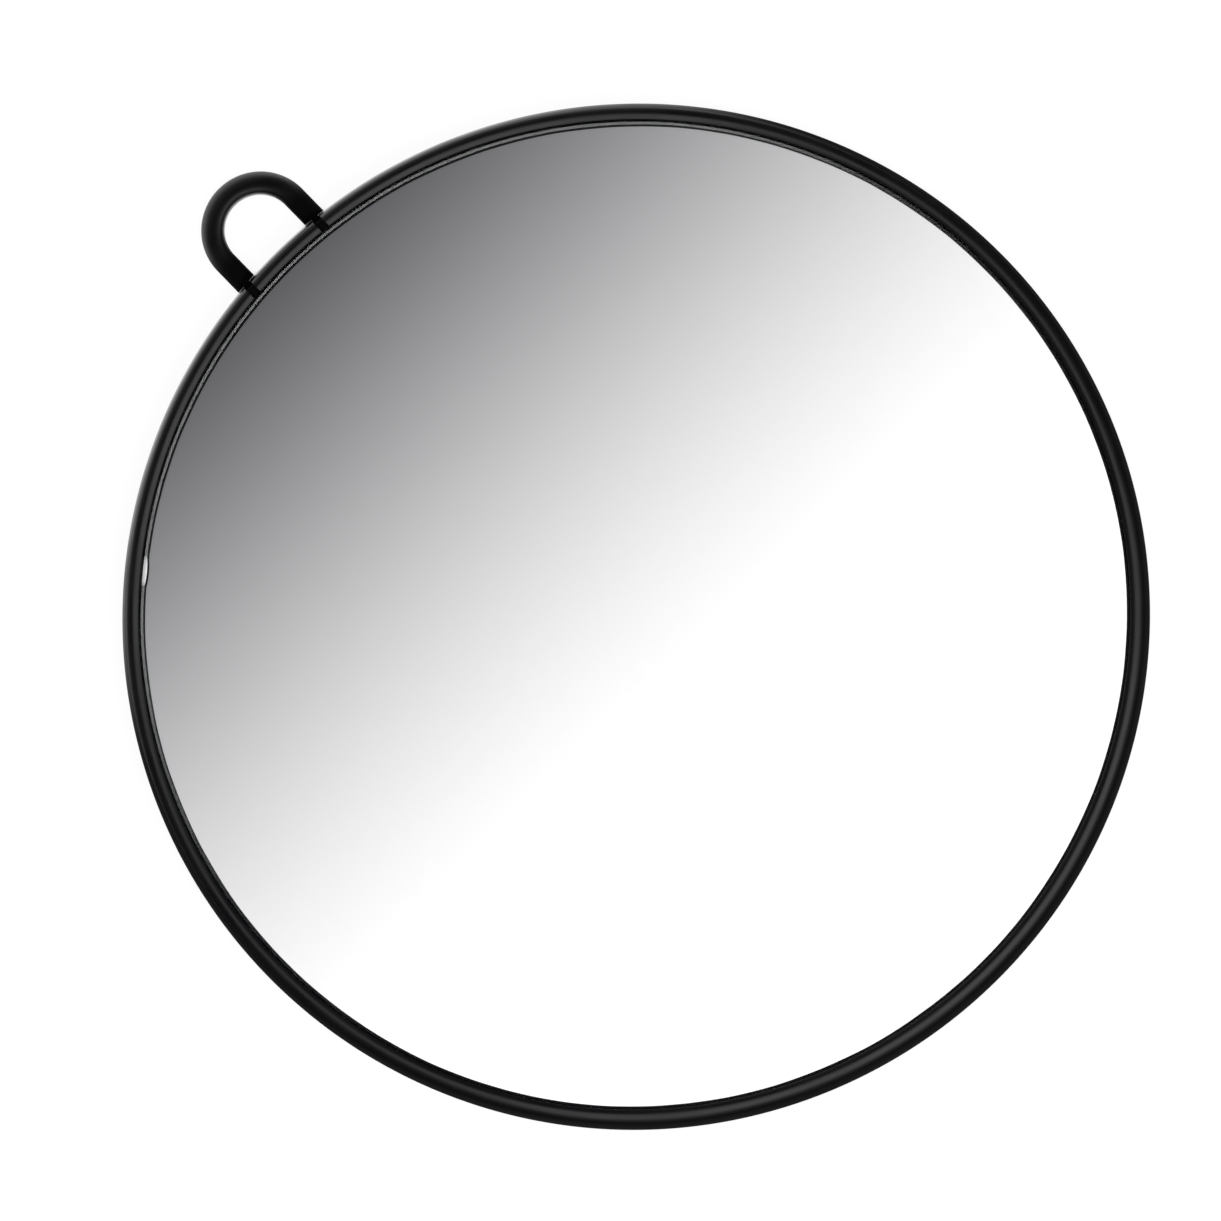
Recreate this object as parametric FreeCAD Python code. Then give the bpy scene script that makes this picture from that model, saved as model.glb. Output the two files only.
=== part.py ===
import FreeCAD, Part
import math
import os

# Round framed mirror with a folding hanging loop, lying on its back.
# Millimetres. +Z is the mirror's front, +Y points at the loop, the origin is the middle of the back.

# Rim of the frame: a round-topped hump that is widest just above its foot and ends in a lip over the glass
outer_diameter = 250.0
rim_width = 4.8
foot_radius = 1.0
crown_inset = 3.4
crown_rise = 1.9
top_radius = 2.5
lip_radius = 0.4

# Layers, from the back to the front
cover_thickness = 1.4
shelf_thickness = 1.2
tape_thickness = 1.0
coating_thickness = 0.1
glass_thickness = 3.0

# Seats inside the frame
rim_foot_width = 7.3
shelf_width = 6.6
cover_clearance = 0.3
cover_chamfer = 0.5
glass_clearance = 0.2
glass_arris = 0.5
tape_width = 4.4
tape_inset = 0.4
pad_margin = 2.4

# Snap tabs that hold the back cover on the shelf
tab_count = 8
tab_length = 8.0
tab_thickness = 1.4
tab_clearance = 0.2
hook_reach = 0.8
hook_height = 0.6
hook_clearance = 0.05

# Hinge of the loop
pin_diameter = 1.5
pin_length = 30.0
pin_chamfer = 0.2
pin_setback = 1.2
pin_drop = 1.0
pin_seat_clearance = 0.03
pin_end_clearance = 0.05
pin_mouth_height = 1.3
eye_radius = 1.5
eye_clearance = 0.05
knuckle_width = 2.0
knuckle_side_clearance = 0.2
neck_drop = 0.7
neck_depth = 2.3
neck_root = 1.6
swing_clearance = 0.2
fold_clearance = 0.3

# Hanging loop
loop_inner_radius = 8.7
loop_band = 5.75
loop_thickness = 3.4
loop_crown_inset = 4.3
loop_outer_drop = 2.6
loop_foot_radius = 0.4
loop_side_flat = 0.2
loop_shoulder_radius = 2.5
loop_shoulder_drop = 2.2
loop_reach = 21.3
loop_rim_gap = 0.3

# Radii that follow from the sizes above
outer_radius = outer_diameter / 2
recess_radius = outer_radius - rim_width
crown_radius = outer_radius - crown_inset
rebate_radius = outer_radius - rim_foot_width
shelf_radius = recess_radius - shelf_width
cover_radius = rebate_radius - cover_clearance
glass_radius = recess_radius - glass_clearance
tape_radius = glass_radius - tape_inset
tab_radius = shelf_radius - tab_clearance
pad_radius = tab_radius - tab_thickness - pad_margin

# Heights that follow from the layers
shelf_top = cover_thickness + shelf_thickness
tape_top = shelf_top + tape_thickness
coating_top = tape_top + coating_thickness
glass_top = coating_top + glass_thickness
crown_height = glass_top + crown_rise

# Hinge axis, and the loop's levels counted from it
pin_radius = pin_diameter / 2
pin_y = recess_radius + pin_setback
pin_z = glass_top - pin_drop
loop_top = pin_z - pin_drop - fold_clearance
loop_bottom = loop_top - loop_thickness
neck_bottom = loop_top - neck_depth
leg_x = loop_inner_radius + loop_band / 2
loop_outer_radius = loop_inner_radius + loop_band
loop_centre_y = outer_radius + loop_reach - loop_outer_radius

# How far a cut runs past the surface that it opens
cut_overrun = 2.0

FULL_TURN = 360.0
ORIGIN = FreeCAD.Vector(0, 0, 0)
X_AXIS = FreeCAD.Vector(1, 0, 0)
Z_AXIS = FreeCAD.Vector(0, 0, 1)


def section_point(radius, height):
    """A point of a turned section, in the plane through the Z axis and +X."""
    return FreeCAD.Vector(radius, 0, height)


def line(start, end):
    return Part.LineSegment(start, end).toShape()


def section_arc(centre, radius, start_degrees, end_degrees):
    """An arc of a turned section, by its centre, its radius and its two end directions."""
    points = []
    for degrees in (start_degrees, (start_degrees + end_degrees) / 2, end_degrees):
        angle = math.radians(degrees)
        arm = section_point(radius * math.cos(angle), radius * math.sin(angle))
        points.append(centre + arm)
    return Part.Arc(*points).toShape()


def turned(edges):
    """The solid that a closed section makes when it is turned about the Z axis."""
    return Part.Face(Part.Wire(edges)).revolve(ORIGIN, Z_AXIS, FULL_TURN)


def turned_polygon(points):
    corners = points + points[:1]
    return turned([line(start, end) for start, end in zip(corners, corners[1:])])


def disc(radius, bottom, top):
    return Part.makeCylinder(radius, top - bottom, FreeCAD.Vector(0, 0, bottom))


def box_between(low, high):
    size = high.sub(low)
    return Part.makeBox(size.x, size.y, size.z, low)


def rod_along_x(radius, length, centre):
    return Part.makeCylinder(radius, length, centre.sub(X_AXIS * (length / 2)), X_AXIS)


def rim_section():
    """The frame's section: foot, flank, round top, lip, wall of the glass recess and shelf."""
    foot_centre = section_point(outer_radius - foot_radius, foot_radius)
    top_centre = section_point(crown_radius, crown_height - top_radius)
    top_lift = top_centre.z - foot_radius
    flank_radius = (crown_inset ** 2 + top_lift ** 2 - top_radius ** 2) / (2 * (crown_inset - top_radius))
    flank_centre = section_point(outer_radius - flank_radius, foot_radius)
    flank_end = math.degrees(math.atan2(top_lift, flank_radius - crown_inset))
    lip_arm = top_radius - lip_radius
    lip_run = crown_radius - recess_radius - lip_radius
    lip_centre = top_centre + section_point(-lip_run, math.sqrt(lip_arm ** 2 - lip_run ** 2))
    lip_start = math.degrees(math.acos(-lip_run / lip_arm))
    wall_top = section_point(recess_radius, lip_centre.z)
    wall_foot = section_point(recess_radius, shelf_top)
    shelf_edge = section_point(shelf_radius, shelf_top)
    shelf_under = section_point(shelf_radius, cover_thickness)
    rebate_top = section_point(rebate_radius, cover_thickness)
    rebate_foot = section_point(rebate_radius, 0)
    return [
        line(rebate_foot, section_point(outer_radius - foot_radius, 0)),
        section_arc(foot_centre, foot_radius, -90, 0),
        section_arc(flank_centre, flank_radius, 0, flank_end),
        section_arc(top_centre, top_radius, flank_end, lip_start),
        section_arc(lip_centre, lip_radius, lip_start, 180),
        line(wall_top, wall_foot),
        line(wall_foot, shelf_edge),
        line(shelf_edge, shelf_under),
        line(shelf_under, rebate_top),
        line(rebate_top, rebate_foot),
    ]


def knuckle_slot(side):
    """The slot across the rim where one knuckle of the loop swings."""
    half_width = knuckle_width / 2 + knuckle_side_clearance
    low_x = side * leg_x - half_width
    high_x = side * leg_x + half_width
    top = crown_height + cut_overrun
    outer_floor = neck_bottom - swing_clearance
    inner_floor = pin_z - eye_radius - swing_clearance
    outer_half = box_between(
        FreeCAD.Vector(low_x, pin_y - swing_clearance, outer_floor),
        FreeCAD.Vector(high_x, outer_radius + cut_overrun, top))
    inner_half = box_between(
        FreeCAD.Vector(low_x, recess_radius - cut_overrun, inner_floor),
        FreeCAD.Vector(high_x, pin_y, top))
    return outer_half.fuse(inner_half)


def pin_seat():
    """The bore of the hinge pin, with its mouth towards the glass where the pin snaps in."""
    centre = FreeCAD.Vector(0, pin_y, pin_z)
    length = pin_length + 2 * pin_end_clearance
    bore = rod_along_x(pin_radius + pin_seat_clearance, length, centre)
    mouth = box_between(
        FreeCAD.Vector(-length / 2, recess_radius - cut_overrun, pin_z - pin_mouth_height / 2),
        FreeCAD.Vector(length / 2, pin_y, pin_z + pin_mouth_height / 2))
    return bore.fuse(mouth)


def make_front_frame():
    ring = turned(rim_section())
    return ring.cut(knuckle_slot(-1)).cut(knuckle_slot(1)).cut(pin_seat())


def snap_tab(number):
    """One tab of the back cover, whose hook reaches over the frame's shelf."""
    hook_under = shelf_top + hook_clearance
    hook_top = hook_under + hook_height
    inner_radius = tab_radius - tab_thickness
    corners = [
        section_point(inner_radius, cover_thickness - cover_chamfer),
        section_point(tab_radius, cover_thickness - cover_chamfer),
        section_point(tab_radius, hook_under),
        section_point(tab_radius + hook_reach, hook_under),
        section_point(tab_radius, hook_top),
        section_point(inner_radius, hook_top),
    ]
    sweep = math.degrees(tab_length / tab_radius)
    tab = Part.Face(Part.makePolygon(corners + corners[:1])).revolve(ORIGIN, Z_AXIS, sweep)
    tab.rotate(ORIGIN, Z_AXIS, FULL_TURN * (number + 0.5) / tab_count - sweep / 2)
    return tab


def make_back_cover():
    plate = turned_polygon([
        section_point(0, 0),
        section_point(cover_radius - cover_chamfer, 0),
        section_point(cover_radius, cover_chamfer),
        section_point(cover_radius, cover_thickness),
        section_point(0, cover_thickness),
    ])
    return plate.fuse([snap_tab(number) for number in range(tab_count)]).removeSplitter()


def make_tape_ring():
    ring = disc(tape_radius, shelf_top, tape_top)
    return ring.cut(disc(tape_radius - tape_width, shelf_top, tape_top))


def make_foam_pad():
    return disc(pad_radius, cover_thickness, tape_top)


def make_silver_coating():
    return disc(glass_radius, tape_top, coating_top)


def make_mirror_glass():
    """The glass disc, with its ground arris on the front edge."""
    return turned_polygon([
        section_point(0, coating_top),
        section_point(glass_radius, coating_top),
        section_point(glass_radius, glass_top - glass_arris),
        section_point(glass_radius - glass_arris, glass_top),
        section_point(0, glass_top),
    ])


def make_hinge_pin():
    pin = rod_along_x(pin_radius, pin_length, FreeCAD.Vector(0, pin_y, pin_z))
    ends = [edge for edge in pin.Edges if isinstance(edge.Curve, Part.Circle)]
    return pin.makeChamfer(pin_chamfer, ends)


def fall_radius(run, drop):
    """The radius of an arc that starts level and falls by drop over run."""
    return (run ** 2 + drop ** 2) / (2 * drop)


def band_section():
    """The section of the loop's band on its +X side: a flat foot, low sides and a hump."""
    crown = loop_outer_radius - loop_crown_inset
    inner_run = loop_band - loop_crown_inset
    height_left = loop_thickness - loop_foot_radius - loop_side_flat
    outer_drop = min(loop_outer_drop, loop_crown_inset, height_left)
    inner_drop = min(inner_run, height_left)
    outer_fall = fall_radius(loop_crown_inset, outer_drop)
    inner_fall = fall_radius(inner_run, inner_drop)
    outer_turn = math.degrees(2 * math.atan2(outer_drop, loop_crown_inset))
    inner_turn = math.degrees(2 * math.atan2(inner_drop, inner_run))
    outer_top = loop_top - outer_drop
    inner_top = loop_top - inner_drop
    side_bottom = loop_bottom + loop_foot_radius
    inner_foot = loop_inner_radius + loop_foot_radius
    outer_foot = loop_outer_radius - loop_foot_radius
    return [
        line(section_point(inner_foot, loop_bottom), section_point(outer_foot, loop_bottom)),
        section_arc(section_point(outer_foot, side_bottom), loop_foot_radius, -90, 0),
        line(section_point(loop_outer_radius, side_bottom), section_point(loop_outer_radius, outer_top)),
        section_arc(section_point(crown, loop_top - outer_fall), outer_fall, 90 - outer_turn, 90),
        section_arc(section_point(crown, loop_top - inner_fall), inner_fall, 90, 90 + inner_turn),
        line(section_point(loop_inner_radius, inner_top), section_point(loop_inner_radius, side_bottom)),
        section_arc(section_point(inner_foot, side_bottom), loop_foot_radius, 180, 270),
    ]


def rim_room():
    """The room round the rim that the legs leave free, with the hollow that rounds their shoulders."""
    reach = outer_radius + loop_rim_gap
    shoulder_bottom = loop_top - loop_shoulder_drop
    shoulder_top = shoulder_bottom + loop_shoulder_radius
    far_reach = reach + loop_shoulder_radius
    return turned([
        line(ORIGIN, section_point(reach, 0)),
        line(section_point(reach, 0), section_point(reach, shoulder_bottom)),
        section_arc(section_point(far_reach, shoulder_bottom), loop_shoulder_radius, 180, 90),
        line(section_point(far_reach, shoulder_top), section_point(0, shoulder_top)),
        line(section_point(0, shoulder_top), ORIGIN),
    ])


def humped_band():
    """The loop's bow and its two legs, which end just short of the rim."""
    section = Part.Face(Part.Wire(band_section()))
    bow = section.revolve(ORIGIN, Z_AXIS, FULL_TURN / 2)
    leg = section.extrude(FreeCAD.Vector(0, pin_y - loop_centre_y, 0))
    band = bow.fuse([leg, leg.mirror(ORIGIN, X_AXIS)]).removeSplitter()
    band.translate(FreeCAD.Vector(0, loop_centre_y, 0))
    return band.cut(rim_room())


def knuckle(side):
    """One eye of the loop, and the web and the neck that join it to its leg."""
    low_x = side * leg_x - knuckle_width / 2
    high_x = side * leg_x + knuckle_width / 2
    eye = rod_along_x(eye_radius, knuckle_width, FreeCAD.Vector(side * leg_x, pin_y, pin_z))
    web = box_between(
        FreeCAD.Vector(low_x, pin_y, neck_bottom),
        FreeCAD.Vector(high_x, pin_y + pin_setback - swing_clearance, pin_z))
    neck = box_between(
        FreeCAD.Vector(low_x, pin_y, neck_bottom),
        FreeCAD.Vector(high_x, outer_radius + loop_rim_gap + neck_root, loop_top - neck_drop))
    return eye.fuse([web, neck])


def make_hanging_loop():
    loop = humped_band().fuse([knuckle(-1), knuckle(1)]).removeSplitter()
    bore_length = 2 * (leg_x + knuckle_width)
    return loop.cut(rod_along_x(pin_radius + eye_clearance, bore_length, FreeCAD.Vector(0, pin_y, pin_z)))


nodes = {
    "front_frame": make_front_frame(),
    "back_cover": make_back_cover(),
    "tape_ring": make_tape_ring(),
    "foam_pad": make_foam_pad(),
    "silver_coating": make_silver_coating(),
    "mirror_glass": make_mirror_glass(),
    "hinge_pin": make_hinge_pin(),
    "hanging_loop": make_hanging_loop(),
}

os.makedirs("parts", exist_ok=True)
for name, shape in nodes.items():
    shape.exportStep(f"parts/{name}.step")
    print(f"{name}: {len(shape.Solids)} solid, {shape.Volume:.1f} cubic mm")
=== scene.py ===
import logging
import math
from dataclasses import dataclass, field
from enum import Enum
from typing import Any, Sequence

import bmesh
import bpy
from mathutils import Matrix, Vector


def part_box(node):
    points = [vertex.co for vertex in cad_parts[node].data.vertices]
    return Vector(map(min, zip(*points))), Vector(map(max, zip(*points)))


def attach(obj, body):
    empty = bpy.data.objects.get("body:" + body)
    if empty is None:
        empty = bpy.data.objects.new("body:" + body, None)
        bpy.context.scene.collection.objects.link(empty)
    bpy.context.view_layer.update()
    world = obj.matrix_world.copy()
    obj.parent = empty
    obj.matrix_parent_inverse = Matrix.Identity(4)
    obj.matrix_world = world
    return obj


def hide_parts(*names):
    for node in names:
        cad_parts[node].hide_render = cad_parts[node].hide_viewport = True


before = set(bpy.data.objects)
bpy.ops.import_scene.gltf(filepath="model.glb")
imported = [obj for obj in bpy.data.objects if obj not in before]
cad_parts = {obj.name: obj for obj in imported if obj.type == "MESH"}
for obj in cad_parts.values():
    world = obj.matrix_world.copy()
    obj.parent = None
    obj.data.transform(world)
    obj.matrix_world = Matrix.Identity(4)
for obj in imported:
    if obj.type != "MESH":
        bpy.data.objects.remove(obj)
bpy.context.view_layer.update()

# Round mirror in a black moulded rim, with a hanging loop that folds over the glass.
# Sizes are in millimetres and become metres where a mesh is made.

MM = 0.001
WELD_DISTANCE = 0.001
SHARP_EDGE = math.radians(32.0)
GLASS_SHARP_EDGE = math.radians(14.0)
ROD_SIDES = 48

Point = tuple[float, float]
Piece = bpy.types.Object
Tree = bpy.types.NodeTree
Socket = bpy.types.NodeSocket
Outputs = bpy.types.NodeOutputs
Values = dict[str, Any]
log = logging.getLogger("framed_mirror")


class Body(Enum):
    """The bodies that pieces ride on."""

    MIRROR = "mirror"
    LOOP = "loop"


class Slot(Enum):
    """The record's material slots."""

    FRAME = "frame_plastic"
    COVER = "cover_plastic"
    LOOP = "loop_plastic"
    PAD = "pad_foam"
    GLASS = "clear_glass"


class Side(Enum):
    """The two legs of the loop, by the sign of their X."""

    LEFT = -1
    RIGHT = 1


class Way(Enum):
    """What a light of the room fades with: the way a ray goes, or that it came through the glass."""

    TO_LOOP = "towards the loop"
    UPWARDS = "upwards"
    SIDEWAYS = "to either side, and towards the loop"
    THROUGH_GLASS = "through the glass"


def linear(colour: str) -> tuple[float, float, float, float]:
    """Turns an sRGB hex colour to linear light.

    Args:
        colour: Six hex digits after a hash sign.

    Returns:
        Linear red, green, blue and an alpha of 1.
    """
    channels = [int(colour[place:place + 2], 16) / 255 for place in (1, 3, 5)]
    red, green, blue = [c / 12.92 if c <= 0.04045 else ((c + 0.055) / 1.055) ** 2.4 for c in channels]
    return red, green, blue, 1.0


def add_node(tree: Tree, kind: str, inputs: dict | None = None, **settings: Any) -> Outputs:
    """Adds one node to a tree, with its settings, values and links.

    Args:
        tree: The node tree.
        kind: The node's type name.
        inputs: A value or an output socket for each named or numbered input.
        **settings: The node's own properties.

    Returns:
        The new node's outputs, by name or number.
    """
    node = tree.nodes.new(kind)
    for name, value in settings.items():
        setattr(node, name, value)
    for name, value in (inputs or {}).items():
        if isinstance(value, Socket):
            tree.links.new(value, node.inputs[name])
        else:
            node.inputs[name].default_value = value
    return node.outputs


def per_mm(size: float) -> float:
    """The texture scale at which one feature of the pattern is size millimetres wide."""
    return 1.0 / (size * MM)


def fresh_tree(owner: bpy.types.Material | bpy.types.World) -> Tree:
    """Gives a material or a world an empty node tree.

    Args:
        owner: The material or the world.

    Returns:
        The tree.
    """
    owner.use_nodes = True
    owner.node_tree.nodes.clear()
    return owner.node_tree


def link_object(name: str, data: bpy.types.ID) -> Piece:
    """Makes an object of a mesh, a lamp or a camera, in the scene.

    Args:
        name: The object's name.
        data: The mesh, lamp or camera.

    Returns:
        The object.
    """
    made = bpy.data.objects.new(name, data)
    bpy.context.scene.collection.objects.link(made)
    return made


@dataclass(frozen=True)
class Finish:
    """A surface finish, which becomes one procedural material."""

    name: str
    colour: str
    roughness: float
    ior: float = 1.5

    def material(self) -> bpy.types.Material:
        """Makes the material once, and finds it again after that.

        Returns:
            The material with its shader built.
        """
        known = bpy.data.materials.get(self.name)
        if known:
            return known
        material = bpy.data.materials.new(self.name)
        tree = fresh_tree(material)
        place = add_node(tree, "ShaderNodeTexCoord")["Object"]
        values = {"Base Color": linear(self.colour), "Roughness": self.roughness, "IOR": self.ior}
        values.update(self.detail(tree, place))
        shader = add_node(tree, "ShaderNodeBsdfPrincipled", values)
        add_node(tree, "ShaderNodeOutputMaterial", {"Surface": shader[0]})
        return material

    def detail(self, tree: Tree, place: Socket) -> Values:
        """What the finish adds to the shader's plain values.

        Args:
            tree: The material's node tree; not used here.
            place: Object coordinates, in metres; not used here.

        Returns:
            The shader's inputs, by name.
        """
        return {}


@dataclass(frozen=True)
class TexturedFinish(Finish):
    """A finish whose gloss changes from patch to patch, over a grain drawn coarse enough to show."""

    patch_size: float = 14.0
    patch_detail: float = 3.0
    patch_range: tuple[float, float] = (0.3, 0.7)
    roughness_spread: float = 0.06
    grain_size: float = 0.45
    grain_depth: float = 0.004
    grain_detail: float = 2.0

    def detail(self, tree: Tree, place: Socket) -> Values:
        """Patches of more and of less gloss, and the relief of the grain.

        Args:
            tree: The material's node tree.
            place: Object coordinates, in metres.

        Returns:
            The shader's inputs, by name.
        """
        low, high = self.patch_range
        spread = self.roughness_spread
        patch = add_node(tree, "ShaderNodeTexNoise", {
            "Vector": place, "Scale": per_mm(self.patch_size), "Detail": self.patch_detail})
        gloss = add_node(tree, "ShaderNodeMapRange", {
            "Value": patch["Fac"], "From Min": low, "From Max": high,
            "To Min": self.roughness - spread, "To Max": self.roughness + spread})
        grain = add_node(tree, "ShaderNodeTexNoise", {
            "Vector": place, "Scale": per_mm(self.grain_size), "Detail": self.grain_detail})
        bump = add_node(tree, "ShaderNodeBump", {
            "Height": grain["Fac"], "Distance": self.grain_depth * MM, "Strength": 1.0})
        return {"Roughness": gloss["Result"], "Normal": bump["Normal"]}


@dataclass(frozen=True)
class MouldedPlastic(TexturedFinish):
    """Black ABS from a polished or spark-eroded mould.

    The eye sees a near-black body, a soft highlight where the surface turns to the light, a faint unevenness
    in that highlight from the flow of the melt, and a fine grain that breaks it up close by.
    """


@dataclass(frozen=True)
class FadingPlastic(MouldedPlastic):
    """Black ABS from a mould that is polished along the loop's bow and spark-eroded at the roots of its legs.

    The eye sees the soft highlight of the bow die away down the legs, and dull black knuckles.
    """

    polished_from: float = 138.0
    matte_from: float = 129.0
    matte_roughness: float = 0.75
    matte_gloss: float = 0.08
    full_gloss: float = 0.5

    def detail(self, tree: Tree, place: Socket) -> Values:
        """The plastic's own detail, with a polish that fades along Y, the loop's length.

        Args:
            tree: The material's node tree.
            place: Object coordinates, in metres.

        Returns:
            The shader's inputs, by name.
        """
        values = super().detail(tree, place)
        along = add_node(tree, "ShaderNodeSeparateXYZ", {0: place})
        polish = add_node(tree, "ShaderNodeMapRange", {
            "Value": along["Y"], "From Min": self.matte_from * MM, "From Max": self.polished_from * MM},
            interpolation_type="SMOOTHSTEP")["Result"]
        gloss = add_node(tree, "ShaderNodeMapRange", {
            "Value": polish, "To Min": self.matte_roughness, "To Max": values["Roughness"]})
        level = add_node(tree, "ShaderNodeMapRange", {
            "Value": polish, "To Min": self.matte_gloss, "To Max": self.full_gloss})
        return {**values, "Roughness": gloss["Result"], "Specular IOR Level": level["Result"]}


@dataclass(frozen=True)
class FloatGlass(Finish):
    """Clear soda-lime float glass, polished by the float.

    The eye sees through it to the silver, with next to no tint and a sharp reflection.
    """

    def detail(self, tree: Tree, place: Socket) -> Values:
        """Full transmission: the glass has no pattern of its own."""
        return {"Transmission Weight": 1.0}


@dataclass(frozen=True)
class GroundGlass(TexturedFinish):
    """The arris of the glass, ground off by hand on a stone and left unpolished.

    The eye sees a frosted line: pale where it bends the light overhead to the eye, dark on the other side,
    with a bruised stretch where the stone chipped the edge, painted white partly as its crushed glass and
    partly as a painted glint.
    """

    # Painted glint: the white of the chipped stretch also stands in for a glint of light on the edge.
    bruise_and_glint_colour: str = "#f7f8f8"
    # Painted shade: the inside of the frosted edge is painted near-black.
    inside_painted_shade: str = "#050505"
    patch_size: float = 4.0
    roughness_spread: float = 0.05
    grain_size: float = 0.3
    grain_depth: float = 0.0008
    grain_detail: float = 4.0

    def detail(self, tree: Tree, place: Socket) -> Values:
        """Grit that frosts the glass, harder grinding in patches, the chipped stretch with a painted glint,
        and painted shade inside the edge.

        Args:
            tree: The material's node tree.
            place: Object coordinates, in metres.

        Returns:
            The shader's inputs, by name.
        """
        bruise = add_node(tree, "ShaderNodeAttribute", attribute_name=MirrorPlate.BRUISE_AND_GLINT)["Fac"]
        # From inside the glass the frosted edge is painted near-black, as painted shade for the black wall of
        # the rim that shows through it.
        inside = add_node(tree, "ShaderNodeNewGeometry")["Backfacing"]
        opaque = add_node(tree, "ShaderNodeMath", {0: bruise, 1: inside}, operation="MAXIMUM")
        clear = add_node(tree, "ShaderNodeMath", {0: 1.0, 1: opaque[0]}, operation="SUBTRACT")
        colour: Any = linear(self.colour)
        for share, cover in ((bruise, self.bruise_and_glint_colour), (inside, self.inside_painted_shade)):
            colour = add_node(tree, "ShaderNodeMix", {
                "Factor": share, "A": colour, "B": linear(cover)}, data_type="RGBA")["Result"]
        return {**super().detail(tree, place), "Base Color": colour, "Transmission Weight": clear[0]}


@dataclass(frozen=True)
class Silvering(Finish):
    """Silver laid chemically on the back of the glass, under its paint.

    The eye sees nothing of the layer itself, only the room in it.
    """

    haze_size: float = 30.0
    haze: float = 0.004

    def detail(self, tree: Tree, place: Socket) -> Values:
        """A metal whose polish varies by a trace of haze.

        Args:
            tree: The material's node tree.
            place: Object coordinates, in metres.

        Returns:
            The shader's inputs, by name.
        """
        cloud = add_node(tree, "ShaderNodeTexNoise", {"Vector": place, "Scale": per_mm(self.haze_size)})
        polish = add_node(tree, "ShaderNodeMath", {0: cloud["Fac"], 1: self.haze}, operation="MULTIPLY")
        return {"Metallic": 1.0, "Roughness": polish[0]}


@dataclass(frozen=True)
class DrawnSteel(Finish):
    """Steel wire, drawn through a die, cropped and blackened in a hot oxide bath.

    The eye sees a dark metal with fine lines along the wire, drawn coarse enough to show.
    """

    line_size: float = 0.12
    line_stretch: float = 40.0
    line_depth: float = 0.004
    line_detail: float = 2.0

    def detail(self, tree: Tree, place: Socket) -> Values:
        """Draw lines along X, the pin's length.

        Args:
            tree: The material's node tree.
            place: Object coordinates, in metres.

        Returns:
            The shader's inputs, by name.
        """
        along = add_node(tree, "ShaderNodeMapping", {
            "Vector": place, "Scale": (1.0 / self.line_stretch, 1.0, 1.0)})
        lines = add_node(tree, "ShaderNodeTexNoise", {
            "Vector": along["Vector"], "Scale": per_mm(self.line_size), "Detail": self.line_detail})
        bump = add_node(tree, "ShaderNodeBump", {
            "Height": lines["Fac"], "Distance": self.line_depth * MM, "Strength": 1.0})
        return {"Metallic": 1.0, "Normal": bump["Normal"]}


@dataclass(frozen=True)
class CellFoam(Finish):
    """Closed-cell foam, blown as a sheet and skived.

    The eye sees a matte body, open cells along the cut and a fine mottle, which is painted shade in the
    cells' pits.
    """

    cell_size: float = 0.5
    cell_depth: float = 0.12
    cell_strength: float = 0.6
    wall_range: tuple[float, float] = (0.1, 0.6)
    # Painted shade: the colour of the cells' pits.
    shade: str = "#000000"

    def detail(self, tree: Tree, place: Socket) -> Values:
        """Cells as pits, darker than the walls between them by painted shade.

        Args:
            tree: The material's node tree.
            place: Object coordinates, in metres.

        Returns:
            The shader's inputs, by name.
        """
        low, high = self.wall_range
        cells = add_node(tree, "ShaderNodeTexVoronoi", {"Vector": place, "Scale": per_mm(self.cell_size)})
        wall = add_node(tree, "ShaderNodeMapRange", {
            "Value": cells["Distance"], "From Min": low, "From Max": high})
        colour = add_node(tree, "ShaderNodeMix", {
            "Factor": wall["Result"], "A": linear(self.shade), "B": linear(self.colour)}, data_type="RGBA")
        bump = add_node(tree, "ShaderNodeBump", {
            "Height": wall["Result"], "Distance": self.cell_depth * MM, "Strength": self.cell_strength})
        return {"Base Color": colour["Result"], "Normal": bump["Normal"]}


RIM_PLASTIC = MouldedPlastic("moulded_black_abs", "#050506", 0.31)
# The recess plastic's colour is painted shade, darker than the rim's; its matte grain is the mould's.
RECESS_PLASTIC = MouldedPlastic(
    "spark_textured_black_abs_recess", "#020202", 0.75, ior=1.25, grain_size=0.3, grain_depth=0.03)
LOOP_PLASTIC = FadingPlastic("moulded_black_abs_loop", "#040405", 0.34, ior=1.38)
COVER_PLASTIC = MouldedPlastic(
    "spark_textured_black_abs", "#111112", 0.55, grain_size=0.6, grain_depth=0.05, roughness_spread=0.08)
CLEAR_GLASS = FloatGlass("polished_float_glass", "#fefefe", 0.0, ior=1.52)
GROUND_EDGE = GroundGlass("stone_ground_glass_edge", "#2b2d2c", 0.33, ior=1.52)
SILVER = Silvering("chemically_deposited_silver", "#f5f5f5", 0.0)
TAPE_FOAM = CellFoam("white_polyethylene_foam_tape", "#e9e7e0", 0.8, shade="#c9c6bd")
PAD_FOAM = CellFoam("charcoal_eva_foam_sheet", "#34353a", 0.85, cell_size=0.8, shade="#1c1d20")
PIN_STEEL = DrawnSteel("blackened_drawn_steel_wire", "#2b2c2e", 0.4)


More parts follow.
